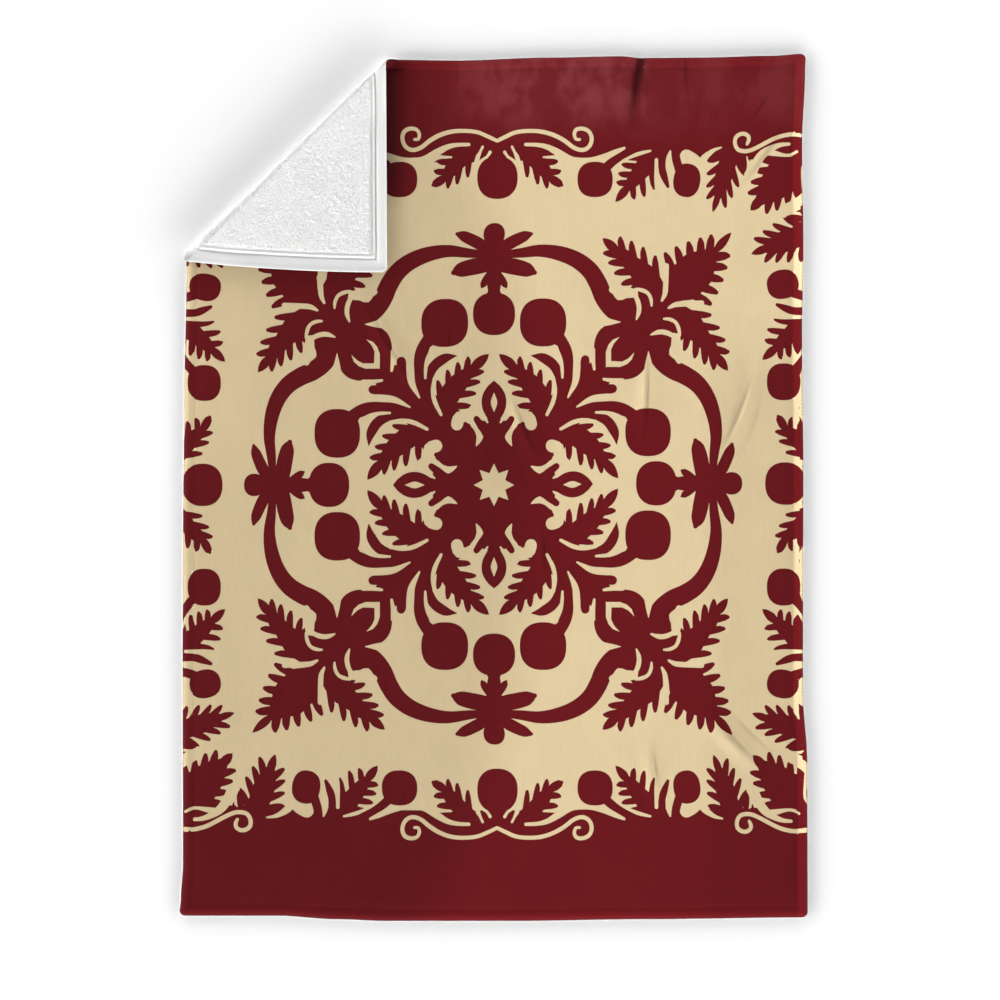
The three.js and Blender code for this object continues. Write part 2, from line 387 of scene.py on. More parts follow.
def leaf(base, tip, bow, halves, left, right, finger, end, end_turn=None):
    """A fingered leaf.

    halves are half its widths from base to tip, finger is the width of a finger, and end the length and
    width of the last one. left and right are rows of fingers: how many, first and last place along the
    leaf, first and last reach, first and last lean, and how the places crowd towards the base.
    """
    base, tip = np.array(base, float), np.array(tip, float)
    run = tip - base
    aside = np.array([-run[1], run[0]]) / np.hypot(*run) * bow

    def spine(s):
        return base + run * s + aside * bow_of(s)

    def heading(s):
        h = run + aside * 4 * (1 - 2 * s)
        return h / np.hypot(*h)

    places = np.linspace(0, 1, len(halves))
    shapes = [brush(*[(*spine(s), 2 * half) for s, half in zip(places, halves)])]
    for sign, row in ((1, left), (-1, right)):
        count, first, last, first_reach, last_reach, first_lean, last_lean, crowd = row
        for k in range(count):
            t = k / (count - 1)
            s = first + (last - first) * t**crowd
            reach = first_reach + (last_reach - first_reach) * t**1.6
            lean = math.radians(first_lean + (last_lean - first_lean) * t) * sign
            root = spine(s)
            point = root + turned(heading(s), lean) * reach
            shapes.append(petal(root, point, finger, bow=-sign * 2, blunt=0.5, first=1))
    length, width = end
    full, blunt = (0.62, 0.16) if end_turn is None else (0.8, 0.4)
    way = turned(heading(1), math.radians(end_turn or 0))
    start = spine(1) - way * 7
    shapes.append(petal(start, start + way * (length + 7), width, blunt=blunt, first=0.6, full=full))
    return shapes


drawing = []


def draw(dye, copies, *shapes):
    """Lays shapes over the drawing: once, in quarter turns (4), or in those and their mirror images (8)."""
    for shape in shapes:
        for mirror in (1, -1) if copies == 8 else (1,):
            for quarter in range(4 if copies > 1 else 1):
                c, s = ((1, 0), (0, 1), (-1, 0), (0, -1))[quarter]
                p, q = shape[:, 0] * mirror, shape[:, 1]
                drawing.append((dye, np.stack([p * c - q * s, p * s + q * c], 1)))


def draw_field():
    reach = 716
    draw(SAND, 1, np.array([(-reach, -reach), (reach, -reach), (reach, reach), (-reach, reach)], float))


def draw_wreath():
    # S-shaped stem from a flower to the leaves
    draw(
        MAROON,
        8,
        brush(
            (-9, 505, 12), (60, 511, 21), (107, 516, 27), (153, 510, 33), (193, 495, 37),
            (223, 472, 40), (242, 443, 42), (255, 414, 43), (274, 390, 44), (305, 373, 51),
            (340, 355, 56),
        ),
        brush((284, 392, 30), (302, 393, 30), (319, 397, 30), (333, 373, 19)),
        brush((319, 362, 37), (340, 368, 56), (374, 373, 84), (409, 346, 79)),
    )
    # Large leaf on each diagonal, and the two that flank it
    fingers = (5, 0.375, 0.835, 86, 56, 68, 35, 1.15)
    halves = (9, 12, 22, 42, 43, 41, 24, 6)
    draw(MAROON, 4, *leaf((374, 381), (519, 519), 0, halves, fingers, fingers, 20, (49, 19)))
    draw(
        MAROON,
        8,
        *leaf(
            (391, 421),
            (281, 520),
            -2,
            (14, 22, 28, 24, 19, 17, 8), (4, 0.31, 0.79, 64, 53, 53, 28, 1),
            (4, 0.08, 0.79, 77, 49, 39, 35, 1),
            17,
            (37, 21),
        ),
    )


def draw_flower():
    draw(MAROON, 4, fruit((0, 552), 25, 25, 2.2))
    draw(MAROON, 4, brush((0, 540, 35), (0, 492, 35), (0, 452, 35), (0, 414, 23)))
    draw(
        MAROON,
        8,
        petal((7, 514), (90, 555), 27, bow=3.5, blunt=0.3, first=0.5),
        petal((2, 486), (100, 467), 36, bow=3.5, blunt=0.3, first=0.7),
        petal((5, 470), (30, 433), 17, bow=1.2, blunt=0.1, first=1),
    )


def draw_fruits():
    draw(MAROON, 4, fruit((0, 377), 49, 47))
    draw(MAROON, 4, brush((0, 443, 27), (0, 428, 27), (0, 414, 46), (0, 403, 74)))
    draw(MAROON, 8, fruit((114, 358), 54, 53, 2.4))
    draw(
        MAROON,
        8,
        brush(
            (144, 333, 30), (166, 298, 28), (173, 265, 23), (170, 225, 22), (153, 181, 26),
            (135, 121, 33),
        ),
    )


def draw_middle():
    draw(MAROON, 4, fruit((0, 0), 144, 144, 2))
    draw(MAROON, 8, brush((70, 99, 102), (119, 134, 93), (188, 192, 70)))
    draw(MAROON, 4, brush((153, 148, 70), (212, 214, 79), (251, 251, 60)))
    draw(MAROON, 8, brush((191, 192, 33), (207, 236, 28), (212, 276, 20)))
    # Heart where four stems meet
    draw(MAROON, 4, fruit((295, 295), 63, 63, 2.5), fruit((326, 326), 42, 42, 2))
    # Pod on each axis
    draw(
        MAROON,
        4,
        brush(
            (0, 230, 0), (0, 220, 25), (0, 207, 45), (0, 195, 55), (0, 183, 58),
            (0, 171, 55), (0, 161, 48), (0, 152, 38), (0, 144, 30), (0, 121, 28),
        ),
    )
    draw(
        MAROON,
        8,
        *leaf(
            (124, 165),
            (46, 260),
            -6,
            (20, 24, 24, 22, 15, 8), (4, 0.05, 0.69, 69, 54, 58, 28, 1),
            (4, 0.02, 0.75, 65, 45, 36, 33, 1),
            16,
            (44, 23),
        ),
        brush((87, 285, 2), (114, 280, 21), (140, 262, 23), (152, 231, 19), (149, 196, 23), (135, 154, 23)),
    )


def draw_cuts():
    """Sand slots that part one maroon leaf or stem from the next."""
    draw(
        SAND,
        8,
        brush((401, 483, 11), (399, 441, 12), (397, 421, 11), (390, 406, 5.5)),
        brush((274, 430, 14), (293, 424, 22), (316, 423, 22), (333, 423, 16)),
        brush((330, 430, 9), (344, 429, 9), (358, 422, 8), (365, 408, 8), (366, 395, 5)),
        brush((327, 417, 9), (333, 408, 11), (337, 392, 11), (336, 379, 10), (331, 365, 4)),
    )
    draw(MAROON, 8, petal((356, 384), (335, 427), 15, bow=-2.3, blunt=0.3, first=1.2))
    draw(
        SAND,
        8,
        brush((256, 360, 21), (274, 359, 12), (294, 359, 1.5)),
        brush((228, 298, 14), (230, 276, 10), (233, 255, 6)),
        brush((193, 293, 15), (192, 254, 17), (188, 225, 14), (172, 193, 4)),
    )
    # Outline round the inside of the heart, open towards the leaves
    arm = [
        (260, 259), (260, 293), (266, 309), (276, 320), (292, 326), (285, 319), (278, 311),
        (272, 298), (272, 273),
    ]
    outline = [*arm, *[(q, p) for p, q in reversed(arm[:-1])]]
    draw(SAND, 4, np.array(outline, float))
    draw(
        SAND,
        8,
        brush((36, 195, 13), (38, 178, 18), (34, 166, 14), (28, 156, 10), (22, 147, 7), (15, 138, 4)),
        brush(
            (41, 176, 17), (46, 166, 24), (55, 149, 26), (46, 136, 20), (37, 126, 21),
            (34, 117, 19), (33, 107, 16), (36, 97, 11), (41, 87, 3),
        ),
        brush((60, 151, 22), (80, 149, 27), (86, 134, 28)),
    )
    draw(
        MAROON,
        8,
        petal((14, 108), (45, 151), 18, blunt=0.8, first=1.2),
        brush((56, 108, 16), (62, 128, 17)),
    )
    draw(
        SAND,
        8,
        brush((138, 236, 8), (142, 209, 9), (137, 183, 10), (123, 155, 7)),
        brush((143, 302, 12), (155, 273, 8), (158, 254, 7), (159, 237, 5.5)),
    )
    draw(SAND, 4, brush((0, 203, 1), (0, 182, 15), (0, 161, 1)))


def draw_star():
    points, long_reach, short_reach = 16, 47, 28
    angle = np.arange(points) * 2 * math.pi / points
    reach = np.where(np.arange(points) % 2 == 0, long_reach, short_reach)
    draw(SAND, 1, np.stack([reach * np.cos(angle), reach * np.sin(angle)], 1))


def draw_border_middle():
    # Scroll that swings up to the axis
    draw(
        SAND,
        8,
        brush(
            (192, 761, 6), (183, 762, 7.5), (180, 773, 8), (186, 783, 8.5), (200, 785, 9),
            (214, 779, 9.3), (220, 765, 9.3), (216, 749, 9.3), (206, 740, 9.3),
            (193, 738, 9.3), (176, 744, 9.3), (157, 758, 9.8), (134, 770, 9.8),
            (106, 778, 9.3), (76, 780, 8.8), (45, 777, 8.8), (22, 768, 8.8), (0, 758, 8),
        ),
        brush((34, 745, 5.5), (42, 732, 9), (48, 714, 10.5), (53, 694, 12), (66, 672, 21)),
        brush((17, 733, 7.5), (24, 723, 6), (36, 714, 9), (48, 699, 12), (55, 677, 16)),
    )
    draw(MAROON, 4, fruit((0, 677), 47, 47))
    draw(MAROON, 4, brush((0, 744, 19), (0, 728, 28), (0, 712, 51), (0, 688, 84)))
    draw(
        MAROON,
        8,
        *leaf(
            (58, 749),
            (126, 674),
            0,
            (21, 22, 18, 16, 6), (3, 0.16, 0.77, 58, 38, 43, 48, 1),
            (3, 0.02, 0.63, 71, 51, 34, 25, 1),
            15,
            (31, 20),
            18,
        ),
    )
    draw(
        SAND,
        8,
        brush(
            (66, 750, 7.5), (94, 749, 9), (117, 744, 12), (141, 732, 16), (169, 718, 14),
            (192, 714, 14), (220, 714, 16), (250, 722, 16), (276, 733, 13), (295, 742, 6),
        ),
        brush((107, 722, 4), (120, 722, 6), (136, 722, 9), (159, 716, 19)),
    )


def draw_border_side():
    draw(MAROON, 8, fruit((227, 673), 41, 39, 2.4))
    draw(
        MAROON,
        8,
        *leaf(
            (363, 726),
            (300, 652),
            0,
            (28, 23, 19, 16, 8), (3, 0.09, 0.75, 70, 42, 47, 45, 1),
            (4, 0.1, 0.79, 58, 37, 58, 48, 1),
            15,
            (37, 20),
        ),
    )
    draw(
        SAND,
        8,
        brush(
            (270, 694, 12), (280, 710, 15), (299, 721, 13), (320, 727, 9), (338, 732, 8),
            (356, 736, 5),
        ),
    )
    draw(
        MAROON,
        8,
        brush((243, 690, 21), (264, 709, 20), (287, 724, 17), (317, 740, 19)),
        brush((383, 747, 19), (383, 712, 18), (386, 688, 19), (393, 670, 15), (397, 658, 8)),
    )
    draw(
        SAND,
        8,
        brush((370, 716, 8), (370, 694, 9), (370, 672, 10), (373, 650, 12)),
        brush((403, 735, 5), (400, 721, 13), (401, 701, 19), (403, 681, 13), (406, 655, 9)),
        brush((441, 723, 32), (459, 715, 28), (476, 699, 23)),
        brush((476, 710, 19), (485, 721, 16), (497, 730, 12), (510, 737, 8), (527, 741, 4)),
    )
    draw(MAROON, 8, fruit((442, 671), 32, 37, 2.3, tilt=-10))
    draw(MAROON, 8, brush((415, 747, 21), (416, 721, 20), (424, 694, 21)))
    draw(
        MAROON,
        8,
        *leaf(
            (553, 735),
            (519, 634),
            0,
            (21, 22, 23, 20, 10), (4, -0.1, 0.63, 74, 65, 42, 26, 1),
            (4, 0.02, 0.6, 64, 62, 52, 25, 1),
            16,
            (36, 17),
        ),
    )


def draw_border_corner():
    fingers = (4, 0.13, 0.6, 88, 72, 48, 26, 1.1)
    halves = (51, 51, 44, 38, 29, 12)
    draw(MAROON, 4, *leaf((721, 721), (621, 621), 0, halves, fingers, fingers, 19, (29, 22)))
    draw(
        SAND,
        8,
        brush(
            (605, 686, 21), (616, 708, 21), (630, 725, 19), (649, 737, 14), (670, 745, 10),
            (690, 747, 7),
        ),
        brush((635, 730, 16), (658, 726, 12), (681, 722, 7), (695, 723, 7), (709, 730, 6)),
        brush((591, 717, 5), (590, 708, 8), (590, 698, 10), (592, 677, 14)),
    )
    draw(MAROON, 8, petal((578, 738), (586, 683), 14, bow=2, blunt=0.3, first=1.1))
    draw(MAROON, 8, brush((606, 744, 20), (601, 725, 11), (598, 708, 1)))
    draw(
        SAND,
        8,
        brush(
            (591, 747, 7), (595, 755, 9), (594, 764, 9.3), (585, 770, 9.3), (573, 769, 9.3),
            (563, 761, 9.3), (562, 747, 9.3), (569, 735, 9.3), (584, 731, 9.3),
            (600, 733, 9.3), (619, 741, 9.3), (637, 750, 9.3), (658, 760, 9.3),
            (677, 766, 9.3), (698, 769, 9.3), (730, 766, 9.3),
        ),
    )


for part in (
    draw_field,
    draw_wreath,
    draw_flower,
    draw_fruits,
    draw_middle,
    draw_cuts,
    draw_star,
    draw_border_middle,
    draw_border_side,
    draw_border_corner,
):
    part()
printed = [(dye, printed_place(shape)) for dye, shape in drawing]


def winds_round(points, outline):
    """Which points an outline winds round."""
    x, y = points[:, 0][:, None], points[:, 1][:, None]
    x0, y0 = outline[:, 0], outline[:, 1]
    x1, y1 = np.roll(x0, -1), np.roll(y0, -1)
    side = (x1 - x0) * (y - y0) - (x - x0) * (y1 - y0)
    up = (y0 <= y) & (y1 > y) & (side > 0)
    down = (y0 > y) & (y1 <= y) & (side < 0)
    return up.sum(1) != down.sum(1)


def dyed(points):
    """Dye at each point of the cut cloth: that of the last shape laid there."""
    dye = np.full(len(points), MAROON)
    for colour, outline in printed:
        low, high = outline.min(0), outline.max(0)
        near = np.nonzero(np.all((points >= low) & (points <= high), axis=1))[0]
        if len(near):
            dye[near[winds_round(points[near], outline)]] = colour
    return dye


def triangulated(points, edges):
    """Triangles over the cut cloth that keep the given edges."""
    made = delaunay_2d_cdt([Vector(p) for p in points], edges, [], 0, 1e-5, False)
    return np.array([tuple(p) for p in made[0]]), np.array(made[1]), np.array(made[2])


# How finely the sheets are divided
FOLD_STEP = 2.75
CORNER_STEP = 2
ROLLED_STEP = 2.5
STRAIGHT_STEP = 5
STAGGER = 0.87
GRID_MARGIN = 50
CLOSEST = 1.6
SLIVER = 1e-4


def sewn_edge():
    """Points round the cut rectangle, close together where the corner is rolled over."""
    far, near = HALF_LENGTH, -HALF_LENGTH
    corners = [(-HALF_WIDTH, near), (HALF_WIDTH, near), (HALF_WIDTH, far), (-HALF_WIDTH, far)]
    points = []
    for (u0, v0), (u1, v1) in zip(corners, corners[1:] + corners[:1]):
        length = math.hypot(u1 - u0, v1 - v0)
        at = 0
        while at < length - 1:
            share = at / length
            u, v = u0 + (u1 - u0) * share, v0 + (v1 - v0) * share
            points.append((u, v))
            to_corner = min(at, length - at)
            rolled = abs(beyond_fold(u, v) - ROLL_ARC / 2) < ROLL_ARC
            at += CORNER_STEP if to_corner < CORNER_RADIUS + 4 else ROLLED_STEP if rolled else STRAIGHT_STEP
    return np.array(points)


def grid(step, flat_only=False):
    """Staggered points over the cloth inside its hem."""
    rows = np.arange(-HALF_LENGTH + GRID_MARGIN, HALF_LENGTH - GRID_MARGIN + 1, step * STAGGER)
    points = []
    for k, v in enumerate(rows):
        u = np.arange(-HALF_WIDTH + GRID_MARGIN + (k % 2) * step / 2, HALF_WIDTH - GRID_MARGIN + 1, step)
        points.append(np.stack([u, np.full(len(u), v)], 1))
    points = np.concatenate(points)
    if flat_only:
        points = points[beyond_fold(points[:, 0], points[:, 1]) < -8]
    return points


def hem_rows(depths, step):
    """Rows of points along all four edges, that far in."""
    points = []
    for depth in depths:
        across, along = HALF_WIDTH - depth, HALF_LENGTH - depth
        u = np.linspace(-across, across, round(2 * across / step))
        v = np.linspace(-along, along, round(2 * along / step))[1:-1]
        points += [np.stack([u, np.full(len(u), side * along)], 1) for side in (1, -1)]
        points += [np.stack([np.full(len(v), side * across), v], 1) for side in (1, -1)]
    return np.concatenate(points)


def fold_rows(row_step, step):
    """Rows of points along the fold, through the roll and a little way past it."""
    points = []
    for beyond in np.arange(-3 * row_step, ROLL_ARC + 3.1 * row_step, row_step):
        start = ROLL_START - INWARD * beyond
        along = np.arange(-700, 1400, step)
        row = start + FOLD_RUN * along[:, None]
        points.append(row[from_edge(row[:, 0], row[:, 1]) > 1])
    return np.concatenate(points)


def crease_rows(creases, asides, step):
    """Rows of points along each crease, so that it is shaped finely."""
    points = []
    for from_u, from_v, to_u, to_v, bow, spread, _, _ in creases:
        start = np.array((from_u, from_v), float)
        run = np.array((to_u - from_u, to_v - from_v), float)
        length = np.hypot(*run)
        side = np.array([run[1], -run[0]]) / length
        along = np.linspace(0, 1, round(length / step))[:, None]
        for aside in asides:
            points.append(start + run * along + side * (bow * bow_of(along) + aside * spread))
    points = np.concatenate(points)
    return points[from_edge(points[:, 0], points[:, 1]) > 1.5]


def thinned(points, fixed, reach):
    """Points that aren't on top of one another or of the fixed ones."""
    taken = {tuple(cell) for cell in np.floor(fixed / reach).astype(int)}
    kept = []
    for point, cell in zip(points, np.floor(points / reach).astype(int)):
        cell = tuple(cell)
        if cell not in taken:
            taken.add(cell)
            kept.append(point)
    return np.array(kept)


def print_edges():
    """The lines where sand meets maroon, as points and edges of the cut cloth."""
    rim = 0.5
    limit = np.array((HALF_WIDTH - rim, HALF_LENGTH - rim))
    outlines = [np.clip(shape, -limit, limit) for _, shape in printed]
    points = np.concatenate(outlines)
    edges, start = [], 0
    for outline in outlines:
        count = len(outline)
        edges += [(start + k, start + (k + 1) % count) for k in range(count)]
        start += count
    points, edges, triangles = triangulated(points, edges)
    dye = dyed(points[triangles].mean(1))
    sides = np.concatenate([triangles[:, [0, 1]], triangles[:, [1, 2]], triangles[:, [2, 0]]])
    sides = np.sort(sides, axis=1)
    owner = np.tile(np.arange(len(triangles)), 3)
    order = np.lexsort((sides[:, 1], sides[:, 0]))
    sides, owner = sides[order], owner[order]
    same = np.all(sides[1:] == sides[:-1], axis=1)
    change = np.nonzero(same)[0]
    change = change[dye[owner[change]] != dye[owner[change + 1]]]
    kept = sides[change]
    used, index = np.unique(kept, return_inverse=True)
    return points[used], index.reshape(kept.shape)


def sheet_side(inner_points, lines=None):
    """Triangles over the whole cut cloth: the sewn edge first, then the lines, then the inner points."""
    points = [edge_points]
    count = len(edge_points)
    edges = [(k, (k + 1) % count) for k in range(count)]
    if lines is not None:
        points.append(lines[0])
        edges += [tuple(edge) for edge in lines[1] + count]
    points.append(thinned(inner_points, np.concatenate(points), CLOSEST))
    points, _, triangles = triangulated(np.concatenate(points), edges)
    first, second, third = (points[triangles[:, k]] for k in range(3))
    area = np.cross(second - first, third - first)
    triangles = triangles[np.abs(area) > SLIVER]
    return points, triangles


def edge_index(points):
    """Which of the points are those of the sewn edge, in its order."""
    found = []
    for place in edge_points:
        found.append(int(np.argmin(np.abs(points - place).sum(1))))
    return np.array(found)


def sheet_mesh(name, outer, outer_points, hidden, hidden_points, face_up):
    """A closed sheet from its outer and its hidden side, each as places on the cut cloth and triangles."""
    places, triangles = outer
    hidden_places, hidden_triangles = hidden
    outer_rim = edge_index(places)
    hidden_rim = edge_index(hidden_places) + len(places)
    if face_up:
        top, bottom = triangles, hidden_triangles[:, ::-1] + len(places)
    else:
        top, bottom = triangles[:, ::-1], hidden_triangles + len(places)
    count = len(outer_rim)
    wall = []
    for k in range(count):
        n = (k + 1) % count
        quad = (hidden_rim[k], hidden_rim[n], outer_rim[n], outer_rim[k])
        wall.append(quad if face_up else quad[::-1])
    mesh = bpy.data.meshes.new(name)
    points = np.concatenate([outer_points, hidden_points]) / 1000
    faces = [tuple(int(i) for i in f) for f in [*top.tolist(), *bottom.tolist(), *wall]]
    mesh.from_pydata([tuple(p) for p in points], [], faces)
    mesh.update()
    mesh.shade_smooth()
    piece = bpy.data.objects.new(name, mesh)
    bpy.context.collection.objects.link(piece)
    return piece


edge_points = sewn_edge()
print_lines = print_edges()

# Narrow wrinkles in the plush alone; how much shade is painted along each comes last
WRINKLES = [
    # (from u, from v, to u, to v, bow, spread, height, shoulder, painted shade)
    (364, 1180, 313, 800, 0, 12, -0.8, 1.2, 1.4),
    (437, 1080, 458, 865, 3, 6, -0.9, 0.6, 0.3),
    (362, 350, 348, 85, -7, 6, -1.8, 1.8, 0.35),
    (38, 250, 122, 45, 8, 6, -1.6, 1.6, 0.25),
    (112, -70, 121, -215, -5, 6, -1.6, 1.3, 0.3),
    (-320, 470, -160, 215, 7, 7, -1.5, 1.3, 0.25),
    (618, 300, 522, 70, -12, 8, -1.8, 1.4, 0.25),
    (642, 270, 560, 40, -10, 9, -1, 0.9, 0.15),
    (368, -590, 382, -705, 4, 6, -1.5, 1.3, 0.3),
    (508, -520, 626, -650, 8, 7, -1.6, 1.3, 0.3),
    (545, -500, 660, -625, 8, 8, -1, 0.8, 0.15),
    (644, 925, 600, 850, -4, 7, -1.5, 1.2, 0.35),
    (700, 870, 555, 675, -10, 7, -1.6, 1.4, 0.3),
    (-100, 390, -102, 325, 1, 6, -1.1, 0.8, 0.2),
    (242, 252, 290, 228, 2, 6, -1.2, 1, 0.2),
]

# The plush is fuller along its hem and all but hides the stitched line there
FACE_HEM = [
    # (from the edge, share)
    (0, 0.4),
    (2.5, 0.62),
    (6, 0.95),
    (13, 1.14),
    (19, 1.28),
    (24, 1.6),
    (29, 1.34),
    (37, 1.02),
    (46, 1),
]

# The turned corner's hem is sewn down in two lines with a small ridge between them
HEM_LINES = [
    # (from the edge, spread, height)
    (24, 1.8, -0.2),
    (28.5, 2.4, 0.8),
    (33.5, 2.4, -0.8),
    (39, 3, 0.3),
]
LEFT_HEM_SHARE = 1.2

# Painted light on the hem strip along each edge: how much brighter it is painted
HEM_PAINTED_LIGHT = [
    # (outwards across, outwards along, how much brighter)
    (-1, 0, -0.05),
    (1, 0, 0.54),
    (0, -1, 0.12),
    (0, 1, 0.22),
]

hem_depths = (2, 4, 7, 11, 15, 19, 22, 24, 26, 29, 33, 38, 44)
flap_depths = (2, 4, 7, 11, 15, 19, 22, 24, 26, 28, 30, 32, 34, 36, 38, 40, 42)
coarse_depths = (6, 13, 19, 24, 29, 38, 48)

face_side = sheet_side(
    np.concatenate(
        [
            crease_rows([row[:8] for row in WRINKLES], (0, -0.6, 0.6, -1.2, 1.2, -2, 2), 6),
            crease_rows(CREASES, (0, -0.4, 0.4, -0.8, 0.8, -1.3, 1.3), 9),
            hem_rows(hem_depths, 8),
            fold_rows(FOLD_STEP, 8),
            grid(10),
        ]
    ),
    print_lines,
)
hidden_side = sheet_side(np.concatenate([hem_rows(coarse_depths, 7), fold_rows(FOLD_STEP, 10), grid(20)]))


def curly_grid(step):
    """Close points over the turned corner, where the curly pile shows."""
    margin = ROLL_ARC + 60
    u = np.arange(-HALF_WIDTH + 1.5, -HALF_WIDTH + FAR_SIDE + margin * 2, step)
    v = np.arange(HALF_LENGTH - LEFT_SIDE - margin * 2, HALF_LENGTH - 1.5, step * STAGGER)
    points = []
    for k, row in enumerate(v):
        shifted = u + (k % 2) * step / 2
        points.append(np.stack([shifted, np.full(len(shifted), row)], 1))
    points = np.concatenate(points)
    return points[beyond_fold(points[:, 0], points[:, 1]) > -6]


curly_side = sheet_side(
    np.concatenate(
        [
            hem_rows(flap_depths, 8),
            curly_grid(2.7),
            fold_rows(FOLD_STEP, 4),
            grid(11, flat_only=True),
        ]
    )
)


def in_turned_hem(u, v):
    """How far in from the edge of the turned corner, whose hem is wider along its left edge."""
    return np.minimum((HALF_WIDTH + u) / LEFT_HEM_SHARE, HALF_LENGTH - v)


# Sizes of the pile's lumps and of the laid cloth's waves
LUMP = 7.5
CURL = 3.1
DRIFT = 26
LONG_WAVE = (150, 240)
SHORT_WAVE = (42, 95)


def pile_height(u, v):
    """Lumps of the curly pile, 0 in the flattened hem and 1 at the top of a curl."""
    loose = smooth((in_turned_hem(u, v) - 33) / 6)
    heights = []
    for a, b, k in zip(u, v, loose):
        if k == 0:
            heights.append(0)
            continue
        near = noise.voronoi(Vector((a / LUMP, b / LUMP, 0)))[0]
        curl = noise.noise(Vector((a / CURL, b / CURL, 4)))
        drift = noise.noise(Vector((a / DRIFT, b / DRIFT, 9)))
        heights.append(k * (0.75 - 0.9 * near[0] + 0.35 * curl + 0.3 * drift))
    return np.array(heights), loose


def face_relief(u, v):
    """Slow waves of the laid cloth and its narrow wrinkles."""
    waves = []
    for a, b in zip(u, v):
        wide = noise.noise(Vector((a / LONG_WAVE[0], b / LONG_WAVE[1], 1)))
        small = noise.noise(Vector((a / SHORT_WAVE[0], b / SHORT_WAVE[1], 6)))
        waves.append(0.5 * wide + 0.22 * small)
    inner = smooth(from_edge(u, v) / 50)
    return np.array(waves) * inner + creased(u, v, [row[:8] for row in WRINKLES])


def rim_shade_share(u, v, reach):
    """1 at the sewn edge, where shade is painted along the rim, and 0 that far in."""
    return 1 - smooth(from_edge(u, v) / reach)


def make_face():
    places = face_side[0]
    u, v = places[:, 0], places[:, 1]
    turned_over = smooth((beyond_fold(u, v) + 30) / 25)
    share = eased(HEM, from_edge(u, v)) * turned_over + eased(FACE_HEM, from_edge(u, v)) * (1 - turned_over)
    reach = SEAM_GAP / 2 + FACE_THICKNESS * share + face_relief(u, v) * (1 - turned_over)
    hidden = hidden_side[0]
    piece = sheet_mesh(
        "printed_face",
        face_side,
        offset_from_seam(places, reach),
        hidden_side,
        offset_from_seam(hidden, np.full(len(hidden), SEAM_GAP / 2)),
        face_up=True,
    )
    dye = np.full(len(piece.data.polygons), float(MAROON))
    triangles = face_side[1]
    dye[: len(triangles)] = dyed(places[triangles].mean(1))
    rim = edge_points
    wall_middles = (rim + np.roll(rim, -1, axis=0)) / 2
    dye[-len(rim) :] = dyed(wall_middles * 0.9995)
    piece.data.attributes.new("dye", "FLOAT", "FACE").data.foreach_set("value", dye)
    # Painted shade along the sewn rim and in the narrow wrinkles, and full painted shade on the hidden side
    parts = [(*row[:5], row[5] * 0.85, row[8], 0) for row in WRINKLES]
    crease_shade = creased(u, v, parts) * (1 - turned_over)
    painted_shade = np.concatenate([np.clip(rim_shade_share(u, v, 5) + crease_shade, 0, 1), np.ones(len(hidden))])
    piece.data.attributes.new("painted_shade", "FLOAT", "POINT").data.foreach_set("value", painted_shade)
    # Painted light on the hem strips
    hem_painted_light = np.zeros(len(u))
    for across, along, brighter in HEM_PAINTED_LIGHT:
        inset = HALF_WIDTH * abs(across) + HALF_LENGTH * abs(along) - u * across - v * along
        hem_painted_light = np.maximum(hem_painted_light, brighter * smooth(inset / 6) * (1 - smooth((inset - 14) / 14)))
    hem_painted_light = np.concatenate([hem_painted_light, np.zeros(len(hidden))])
    piece.data.attributes.new("hem_painted_light", "FLOAT", "POINT").data.foreach_set("value", hem_painted_light)
    return piece


def make_back():
    places = curly_side[0]
    u, v = places[:, 0], places[:, 1]
    height, loose = pile_height(u, v)
    shown = smooth((beyond_fold(u, v) + 4) / 10)
    inset = in_turned_hem(u, v)
    share = eased(HEM, from_edge(u, v)) * (1 - shown) + eased(HEM, inset) * shown
    sewn = sum(rise * np.exp(-(((inset - at) / spread) ** 2)) for at, spread, rise in HEM_LINES)
    reach = SEAM_GAP / 2 + BACK_THICKNESS * share + (1.6 * height + sewn) * shown
    hidden = hidden_side[0]
    piece = sheet_mesh(
        "curly_back",
        curly_side,
        offset_from_seam(places, -reach),
        hidden_side,
        offset_from_seam(hidden, np.full(len(hidden), -SEAM_GAP / 2)),
        face_up=False,
    )
    rest = np.zeros(len(hidden))
    # Painted shade over the roll, and along the rim of the turned corner's left hem
    beyond = beyond_fold(u, v)
    rolled = 0.7 * smooth(beyond / 11) * (1 - smooth((beyond - 17.5) / 7.5))
    left_hem_shade = 0.8 * (1 - smooth((HALF_WIDTH + u) / 24)) * shown
    painted_shade = np.maximum(rim_shade_share(u, v, 4), rolled + left_hem_shade)
    for name, values in (("loose", loose), ("curl", height), ("painted_shade", painted_shade)):
        data = piece.data.attributes.new(name, "FLOAT", "POINT").data
        data.foreach_set("value", np.concatenate([values, rest]))
    return piece


